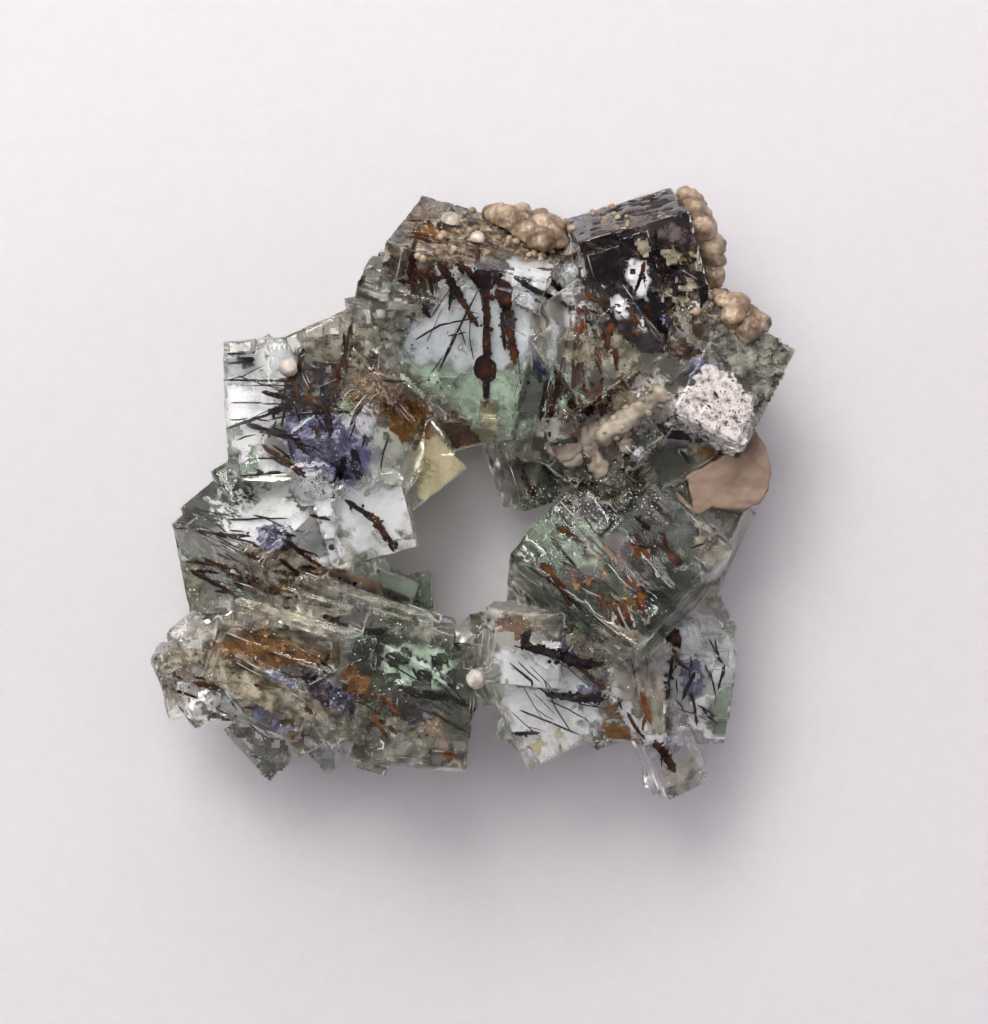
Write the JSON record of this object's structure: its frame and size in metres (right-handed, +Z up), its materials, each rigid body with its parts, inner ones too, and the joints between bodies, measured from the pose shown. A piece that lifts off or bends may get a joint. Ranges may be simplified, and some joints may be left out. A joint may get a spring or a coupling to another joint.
{
  "type": "fluorite specimen",
  "caption": "Small ring-shaped cluster of clear grey-green fluorite cubes with dark needles inside, a tan warty crust and a flat calcite chip; lies flat.",
  "frame": {"origin": "middle of the specimen's box in X and Y, at the plane that it lies on", "axes": "+X towards the calcite chip's side (the ring's longest extent), +Y towards the arched cube, +Z up, away from the plane that it lies on"},
  "size_m": [0.0396, 0.0378, 0.0145],
  "materials": {
    "fluorite": "clear, lightly etched",
    "crust": "waxy",
    "bead": "waxy",
    "stalk": "smooth",
    "calcite": "matt"
  },
  "bodies": {
    "root": {"fluorite_cluster": "fluorite", "crust_north": "crust", "crust_northeast": "crust", "crust_east": "crust", "bead_north": "bead", "bead_rim": "bead", "bead_west": "bead", "bead_south": "bead", "chalcedony_stalk": "stalk", "calcite_chip": "calcite"}
  },
  "joints": []
}
